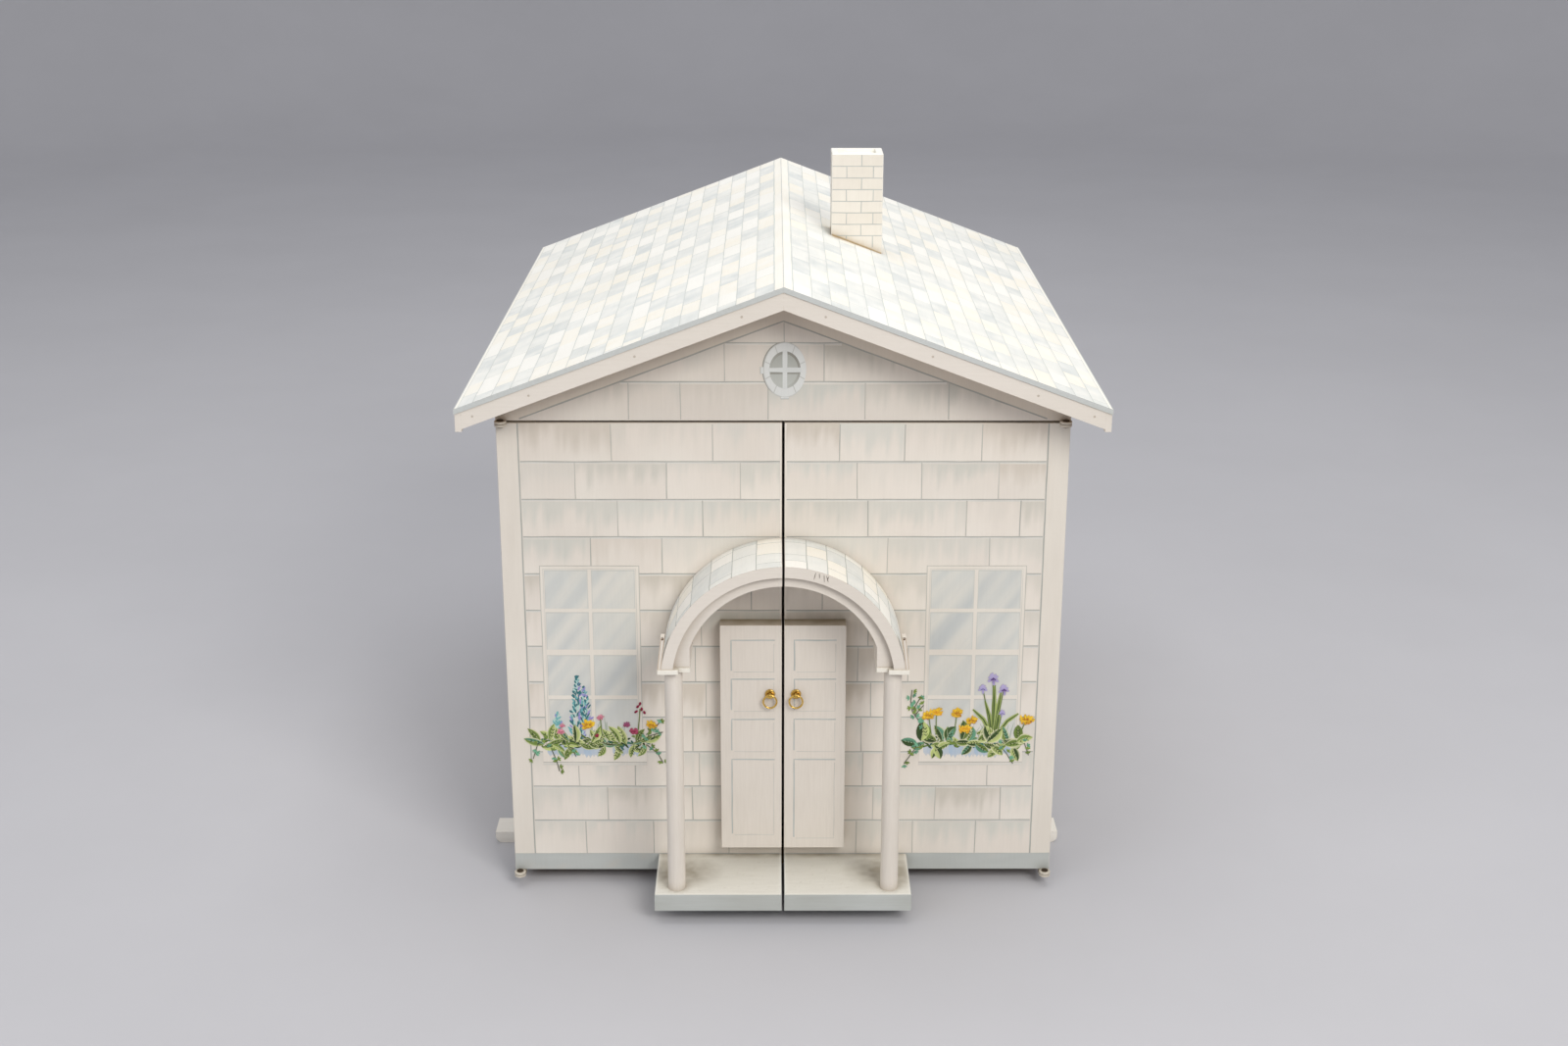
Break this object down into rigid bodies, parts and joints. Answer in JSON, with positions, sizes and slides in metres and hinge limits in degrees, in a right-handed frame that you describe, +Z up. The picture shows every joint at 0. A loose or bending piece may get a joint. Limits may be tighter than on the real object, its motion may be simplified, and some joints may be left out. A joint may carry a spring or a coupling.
{
  "type": "wooden dollhouse",
  "caption": "Hand-painted wooden dollhouse whose front opens as two hinged doors that carry a split arched porch.",
  "frame": {"origin": "on the ground, at the centre of the footprint from the porch step to the back of the roof", "axes": "+Z up, +Y from the front doors towards the back, +X to the right of someone who faces the front"},
  "size_m": [0.67, 0.8874, 0.7658],
  "materials": {
    "cream_paint": "brushed cream paint on wood, satin, lightly worn",
    "shingle_paint": "painted grey, white and cream shingles, satin",
    "brick_paint": "painted pale bricks, satin",
    "interior_paint": "plain painted rooms, matt",
    "bare_wood": "sealed bare softwood, dull",
    "brass": "aged polished brass",
    "hinge_paint": "steel painted over with the door paint",
    "steel": "plain steel, dull"
  },
  "bodies": {
    "house": {"back_panel": "cream_paint", "base_panel": "bare_wood", "catch_magnets": "steel", "chimney": "brick_paint", "eave_board_left": "cream_paint", "eave_board_right": "cream_paint", "fascia_front_left": "cream_paint", "fascia_front_right": "cream_paint", "fascia_nails": "steel", "fascia_rear_left": "cream_paint", "fascia_rear_right": "cream_paint", "floor_attic": "interior_paint", "floor_upper": "interior_paint", "gable_front": "cream_paint", "hinge_frame_leaf_lower_left": "hinge_paint", "hinge_frame_leaf_lower_right": "hinge_paint", "hinge_frame_leaf_upper_left": "hinge_paint", "hinge_frame_leaf_upper_right": "hinge_paint", "hinge_pins": "hinge_paint", "hinge_screws_frame": "steel", "partition_lower": "interior_paint", "partition_upper": "interior_paint", "roof_board_left": "bare_wood", "roof_board_right": "bare_wood", "roof_sheet_left": "shingle_paint", "roof_sheet_right": "shingle_paint", "runner_front": "bare_wood", "runner_rear": "bare_wood", "side_wall_left": "cream_paint", "side_wall_right": "cream_paint"},
    "door_left": {"arch_inner_left": "cream_paint", "arch_outer_left": "cream_paint", "arch_side_strip_left": "cream_paint", "capital_inner_left": "cream_paint", "capital_outer_left": "cream_paint", "catch_strike_left": "steel", "column_left": "cream_paint", "door_panel_left": "cream_paint", "hinge_door_leaf_lower_left": "hinge_paint", "hinge_door_leaf_upper_left": "hinge_paint", "hinge_screws_door_left": "steel", "mock_door_left": "cream_paint", "pull_rosette_left": "brass", "step_left": "cream_paint"},
    "door_right": {"arch_inner_right": "cream_paint", "arch_outer_right": "cream_paint", "arch_side_strip_right": "cream_paint", "capital_inner_right": "cream_paint", "capital_outer_right": "cream_paint", "catch_strike_right": "steel", "column_right": "cream_paint", "door_panel_right": "cream_paint", "hinge_door_leaf_lower_right": "hinge_paint", "hinge_door_leaf_upper_right": "hinge_paint", "hinge_screws_door_right": "steel", "mock_door_right": "cream_paint", "pull_rosette_right": "brass", "step_right": "cream_paint"},
    "ring_left": {"pull_ring_left": "brass"},
    "ring_right": {"pull_ring_right": "brass"}
  },
  "joints": [
    {"name": "door_left_hinge", "type": "hinge", "parent": "house", "child": "door_left", "pos_m": [-0.294, -0.357, 0.277], "axis": [0, 0, -1], "range_deg": [0, 230]},
    {"name": "door_right_hinge", "type": "hinge", "parent": "house", "child": "door_right", "pos_m": [0.294, -0.357, 0.277], "axis": [0, 0, 1], "range_deg": [0, 230]},
    {"name": "ring_left_swing", "type": "hinge", "parent": "door_left", "child": "ring_left", "pos_m": [-0.014, -0.3744, 0.2389], "axis": [-1, 0, 0], "range_deg": [0, 170]},
    {"name": "ring_right_swing", "type": "hinge", "parent": "door_right", "child": "ring_right", "pos_m": [0.014, -0.3744, 0.2389], "axis": [-1, 0, 0], "range_deg": [0, 170]}
  ]
}
